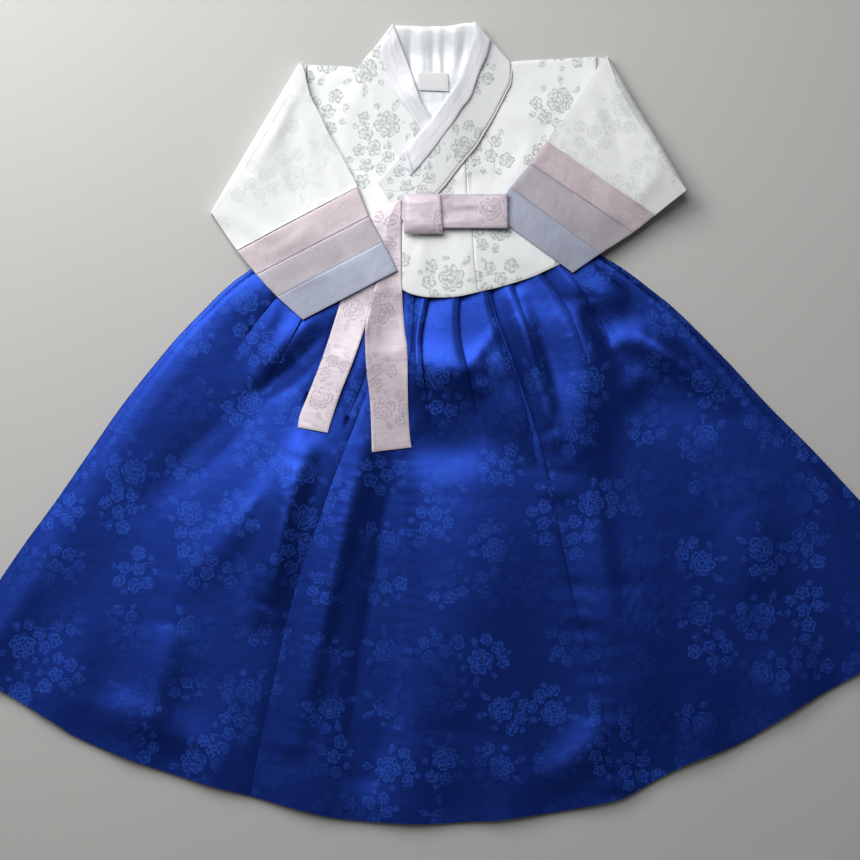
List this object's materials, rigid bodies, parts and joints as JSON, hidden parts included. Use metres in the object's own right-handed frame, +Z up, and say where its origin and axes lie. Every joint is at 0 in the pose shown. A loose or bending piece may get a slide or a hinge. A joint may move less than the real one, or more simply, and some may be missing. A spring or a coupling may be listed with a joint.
{
  "type": "korean hanbok",
  "caption": "Girl's hanbok laid flat: white brocade jacket with folded sleeves, banded cuffs and ribbon tie over a pleated royal blue satin wrap skirt.",
  "frame": {"origin": "centre of the garment's outline, on the surface that it lies on", "axes": "+X across the garment to the viewer's right (the wearer's left), +Y towards the neck, +Z up from the surface"},
  "size_m": [1.4666, 1.204, 0.046],
  "materials": {
    "skirt_satin": "brocade satin",
    "skirt_band": "plain cotton",
    "jacket_brocade": "brocade satin",
    "neck_lining": "satin",
    "collar_strip": "smooth satin",
    "collar_edging": "woven edging",
    "ribbon_satin": "brocade satin",
    "cuff_pink": "brocade satin",
    "cuff_mauve": "brocade satin",
    "cuff_blue": "plain satin",
    "label_tape": "woven tape"
  },
  "bodies": {
    "root": {"skirt_front_centre": "skirt_satin", "skirt_side_left": "skirt_satin", "skirt_side_right": "skirt_satin", "skirt_back_left": "skirt_satin", "skirt_back_right": "skirt_satin", "skirt_waistband": "skirt_band", "jacket_back": "jacket_brocade", "collar_back": "jacket_brocade", "back_lining": "neck_lining", "neck_label": "label_tape", "jacket_front_right": "jacket_brocade", "overlap_panel_inner": "jacket_brocade", "collar_inner": "jacket_brocade", "collar_strip_inner": "collar_strip", "overlap_panel_outer": "jacket_brocade", "jacket_front_left": "jacket_brocade", "collar_outer": "jacket_brocade", "collar_piping": "collar_edging", "collar_strip_outer": "collar_strip", "ribbon_tail_short": "ribbon_satin", "ribbon_tail_long": "ribbon_satin", "ribbon_loop": "ribbon_satin", "ribbon_knot": "ribbon_satin", "sleeve_left": "jacket_brocade", "sleeve_right": "jacket_brocade", "cuff_pink_left": "cuff_pink", "cuff_pink_right": "cuff_pink", "cuff_mauve_left": "cuff_mauve", "cuff_mauve_right": "cuff_mauve", "cuff_blue_left": "cuff_blue", "cuff_blue_right": "cuff_blue"}
  },
  "joints": []
}
